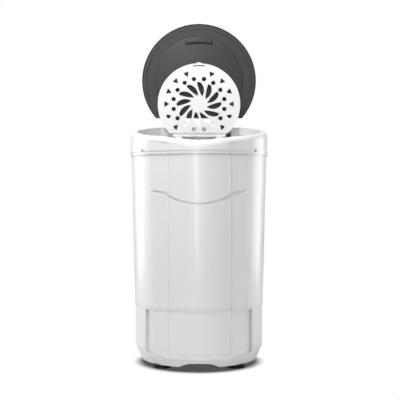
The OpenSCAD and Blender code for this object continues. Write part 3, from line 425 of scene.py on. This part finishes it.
def grip_path():
    """The grip's outline without its top, with the direction across it at each place."""
    reach = GRIP_HALF + GRIP_SHADOW_CLEAR
    places = [Vector((-reach - GRIP_SHADOW_LEAN, GRIP_FOOT - GRIP_SHADOW_SIDE))]
    for k in range(BOW_STEPS + 1):
        x = reach * (2 * k / BOW_STEPS - 1)
        places.append(Vector((x, GRIP_FOOT + GRIP_SHADOW_CLEAR - GRIP_BOW * (1 - (x / GRIP_HALF)**2))))
    places.append(Vector((reach + GRIP_SHADOW_LEAN, GRIP_FOOT - GRIP_SHADOW_SIDE)))
    path = []
    for k, place in enumerate(places):
        along = (places[min(k + 1, len(places) - 1)] - places[max(k - 1, 0)]).normalized()
        path.append((place, Vector((-along.y, along.x))))
    return path


grip_shadow = bead_rings(grip_path(), GRIP_SHADOW_HALF, FACE_W - MIDDLE_RISE + BEAD_ROOT, GRIP_SHADOW_RISE)
# painted shadow: a black bead where the grip's corner lies in shade
place_piece("grip_painted_shadow", swept("grip_painted_shadow", grip_shadow), "outer_lid", "black_plastic")


# %% Join the face's parts and put it in the solid's place
def joined(name, parts):
    """One mesh out of several closed ones."""
    mesh = bmesh.new()
    for part in parts:
        mesh.from_mesh(part)
        bpy.data.meshes.remove(part)
    data = bpy.data.meshes.new(name)
    mesh.to_mesh(data)
    mesh.free()
    return data


inner_face = place_piece("lid_inner_face", joined("lid_inner_face", [plate, middle, grip, *beads]),
                         "outer_lid", "lid_grey")
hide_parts("lid_liner")

# %% [markdown]
# ### Crown of the outer lid
# The lid's outside is a shallow dome. The solid's mesh meets in one point at its crown, which
# shows as a dimple in the reflections. More facets would only make the dimple smaller, so a
# thin round skin on the same sphere covers it and turns down into the dome at its edge.

# %% Skin over the crown
LID_RADIUS, CROWN_RISE = 0.1685, 0.007
SPHERE_RADIUS = (LID_RADIUS**2 + CROWN_RISE**2) / (2 * CROWN_RISE)
SKIN_RADII, SKIN_LIFT = (0.0006, 0.006, 0.012, 0.018, 0.024), 0.00006
SKIN_EDGE_RADIUS, SKIN_EDGE_DROP = 0.0242, 0.0004
SKIN_STEPS = 64


def crown_ring(radius, lift):
    """A ring on the dome, or a little above or below it."""
    w = CROWN_RISE - SPHERE_RADIUS + math.sqrt(SPHERE_RADIUS**2 - radius**2) + lift
    turns = [math.tau * k / SKIN_STEPS for k in range(SKIN_STEPS)]
    return [on_open_lid(radius * math.cos(a), radius * math.sin(a), w) for a in turns]


crown = [crown_ring(radius, SKIN_LIFT) for radius in SKIN_RADII]
crown.append(crown_ring(SKIN_EDGE_RADIUS, -SKIN_EDGE_DROP))
place_piece("lid_crown_skin", swept("lid_crown_skin", crown), "outer_lid", "lid_grey")

# %% [markdown]
# ### Strips in the seams
# The body's mouldings meet in two seams. On the real machine a lip close behind each seam
# keeps it a pale line. The solids leave a gap of 1 mm with the lip further in, and it looks
# black. A white strip fills the gap, 0.6 mm inside the wall, so the seam stays a fine shadow.
# It takes the body's outline from the formula that the solids use, and so runs true to it.

# %% The body's outline, as the solids have it
RIDGE_X, PANEL_INSET, FLANK_INSET, FLANK_ANGLE = 0.080, 0.0105, 0.0125, math.radians(22)
FRONT_OR_REAR = 0.5  # the sine above which a place belongs to the front or the rear


def outline(turn, radius):
    """A place on the body's outline: round, with four flats and two bowed panels."""
    c, s = math.cos(turn), math.sin(turn)
    facing = abs(s) * math.cos(FLANK_ANGLE) + abs(c) * math.sin(FLANK_ANGLE)
    reach = min(radius, (radius - FLANK_INSET) / facing)
    if abs(reach * c) < RIDGE_X and abs(s) > FRONT_OR_REAR:
        reach = -PANEL_INSET * abs(s) + math.sqrt(radius**2 - (PANEL_INSET * c)**2)
    return reach * c, reach * s


# %% Strips
SEAM_GAP, STRIP_CLEAR, STRIP_INSET, STRIP_DEEP = 0.001, 0.00005, 0.0006, 0.0015
STRIP_STEPS = 720


def seam_strip(name, wall_radius, seam_foot):
    """A band in the gap over seam_foot, a little inside the wall and clear of both mouldings."""
    low, high = seam_foot + STRIP_CLEAR, seam_foot + SEAM_GAP - STRIP_CLEAR
    outside = wall_radius - STRIP_INSET
    rings = []
    for k in range(STRIP_STEPS):
        outer = outline(math.tau * k / STRIP_STEPS, outside)
        inner = outline(math.tau * k / STRIP_STEPS, outside - STRIP_DEEP)
        rings.append([(*outer, low), (*outer, high), (*inner, high), (*inner, low)])
    place_piece(name, swept(name, rings, closed=True), "housing", "body_white", smooth=False)


seam_strip("base_seam_strip", wall_radius=0.1765, seam_foot=0.161)
seam_strip("cover_seam_strip", wall_radius=0.1865, seam_foot=0.563)

# %% [markdown]
# ## Floor and background
# The photograph shows the machine on plain white, with a soft shadow under its foot. A lit
# floor would turn grey in the corners, so the camera sees a floor that glows white, with a
# painted shadow that darkens it only close round the foot. All other rays meet a pale sheet,
# which throws a little light back up on the body.


# %% One shader for the camera and another for all other rays
def mix_for_camera(tree, lit, seen, out):
    ray = add(tree, "ShaderNodeLightPath", 100, 400)
    mix = add(tree, "ShaderNodeMixShader", 300)
    link(tree, ray.outputs["Is Camera Ray"], mix.inputs["Fac"])
    link(tree, lit, mix.inputs[1])
    link(tree, seen, mix.inputs[2])
    link(tree, mix.outputs["Shader"], out.inputs["Surface"])


# %% Floor
FLOOR_HALF, FLOOR_GREY = 6.0, 0.7
# the painted shadow: its centre, where it starts, where it ends, and its darkest shade
SHADOW_CENTRE = (0, -0.010, 0)
SHADOW_INNER, SHADOW_OUTER, SHADOW_SHADE = 0.148, 0.186, 0.085


def floor_material():
    mat = bpy.data.materials.new("floor_white")
    mat.use_nodes = True
    tree = mat.node_tree
    tree.nodes.clear()
    out = add(tree, "ShaderNodeOutputMaterial", 600)
    place = add(tree, "ShaderNodeTexCoord", -900, 100)
    reach = add(tree, "ShaderNodeVectorMath", -700, 100, operation="DISTANCE")
    link(tree, place.outputs["Object"], reach.inputs[0])
    reach.inputs[1].default_value = SHADOW_CENTRE
    # painted shadow: the glowing floor darkens close round the foot in place of a cast shadow
    painted_shadow = add(tree, "ShaderNodeMapRange", -400, 100, interpolation_type="SMOOTHSTEP")
    set_inputs(painted_shadow, From_Min=SHADOW_INNER, From_Max=SHADOW_OUTER, To_Min=SHADOW_SHADE, To_Max=1.0)
    link(tree, reach.outputs["Value"], painted_shadow.inputs["Value"])
    seen = add(tree, "ShaderNodeEmission", -100, 100)
    set_inputs(seen, Strength=1.0)
    link(tree, painted_shadow.outputs["Result"], seen.inputs["Color"])
    bounce = add(tree, "ShaderNodeBsdfDiffuse", -100, -100)
    set_inputs(bounce, Color=(FLOOR_GREY, FLOOR_GREY, FLOOR_GREY, 1))
    mix_for_camera(tree, bounce.outputs["BSDF"], seen.outputs["Emission"], out)
    return mat


floor_mesh = bpy.data.meshes.new("floor")
floor_mesh.from_pydata([(x * FLOOR_HALF, y * FLOOR_HALF, 0)
                        for x, y in ((-1, -1), (1, -1), (1, 1), (-1, 1))], [], [(0, 1, 2, 3)])
floor_mesh.materials.append(floor_material())
floor = bpy.data.objects.new("floor", floor_mesh)
bpy.context.scene.collection.objects.link(floor)
print("floor:", 2 * FLOOR_HALF, "m across")

# %% [markdown]
# ### World
# The camera sees plain white behind the machine. The machine itself stands in a studio that is
# bright behind it and darker a little off the front, so that its round sides carry the soft
# grey edges of the photograph. A picture of a studio could light it too, but a ramp of grey
# from front to rear is enough, and each of its stops can be set by itself.

# %% World
STUDIO_STRENGTH = 0.62
STUDIO_STOPS = ((0.0, 0.62), (0.14, 0.2), (0.45, 1.0))  # place from front 0 to rear 1, and grey


def make_world():
    world = bpy.data.worlds.new("studio")
    bpy.context.scene.world = world
    world.use_nodes = True
    tree = world.node_tree
    tree.nodes.clear()
    out = add(tree, "ShaderNodeOutputWorld", 800)
    place = add(tree, "ShaderNodeTexCoord", -900)
    split = add(tree, "ShaderNodeSeparateXYZ", -700)
    depth = add(tree, "ShaderNodeMapRange", -500)
    set_inputs(depth, From_Min=-1)
    ramp = add(tree, "ShaderNodeValToRGB", -300)
    stops = ramp.color_ramp.elements
    stops.new(0.5)  # a ramp starts with two stops, and this one needs three
    for stop, (position, grey) in zip(stops, STUDIO_STOPS):
        stop.position = position
        stop.color = (grey, grey, grey, 1)
    lit = add(tree, "ShaderNodeBackground", 100, -100)
    set_inputs(lit, Strength=STUDIO_STRENGTH)
    seen = add(tree, "ShaderNodeBackground", 100, 100)
    set_inputs(seen, Color=(1, 1, 1, 1))
    link(tree, place.outputs["Generated"], split.inputs["Vector"])
    link(tree, split.outputs["Y"], depth.inputs["Value"])
    link(tree, depth.outputs["Result"], ramp.inputs["Fac"])
    link(tree, ramp.outputs["Color"], lit.inputs["Color"])
    mix_for_camera(tree, lit.outputs["Background"], seen.outputs["Background"], out)
    return world


print("world:", make_world().name)

# %% [markdown]
# ## Light
# The photograph is lit like a catalogue picture: a tall light on each side, set back so that
# the flanks shade towards the edges, a narrow one in front for the soft highlight down
# the panel, one from above, and a small one for the deck and the inner lid. Area lamps give
# such wide soft lights with few settings.


# %% Lamps
def lamp(name, place, aim, size, power):
    """A soft rectangle of light, as wide and high as size says, that looks at aim."""
    data = bpy.data.lights.new(name, "AREA")
    data.shape = "RECTANGLE"
    data.size, data.size_y = size
    data.energy = power
    obj = bpy.data.objects.new(name, data)
    bpy.context.scene.collection.objects.link(obj)
    obj.location = place
    obj.rotation_euler = (Vector(aim) - Vector(place)).to_track_quat("-Z", "Y").to_euler()
    print(name, power, "W")


lamp("left_bank", place=(-2.0, 1.0, 0.45), aim=(0, 0, 0.3), size=(1.2, 1.5), power=25)
lamp("right_bank", place=(2.0, 1.0, 0.45), aim=(0, 0, 0.3), size=(1.2, 1.5), power=25)
lamp("front_bank", place=(-0.2, -2.9, 0.6), aim=(0, 0, 0.4), size=(0.3, 1.8), power=22.5)
lamp("top_bank", place=(-0.3, -1.5, 2.4), aim=(0, 0, 0.5), size=(1.2, 0.8), power=24)
lamp("deck_lamp", place=(-0.35, -0.45, 1.6), aim=(0, 0.1, 0.65), size=(0.6, 0.4), power=12.5)

# %% [markdown]
# ## Camera
# The photographed seams and foot are ellipses, and how flat each one is tells how high the
# camera stood: level, somewhat above the middle of the body. How much the upper ellipses open
# against the lower ones gives the distance. A long lens from there matches the photograph.

# %% Camera
CAMERA_PLACE, LENS_MM, SENSOR_MM, SHIFT = (0, -2.28, 0.444), 73.8, 36, 0.0025

camera_data = bpy.data.cameras.new("camera")
camera_data.lens = LENS_MM
camera_data.sensor_width = SENSOR_MM
camera_data.shift_x = SHIFT
camera = bpy.data.objects.new("camera", camera_data)
bpy.context.scene.collection.objects.link(camera)
camera.location = CAMERA_PLACE
camera.rotation_euler = (math.radians(90), 0, 0)
bpy.context.scene.camera = camera
bpy.context.scene.view_settings.view_transform = "Standard"
print("camera at", tuple(round(c, 3) for c in camera.location))
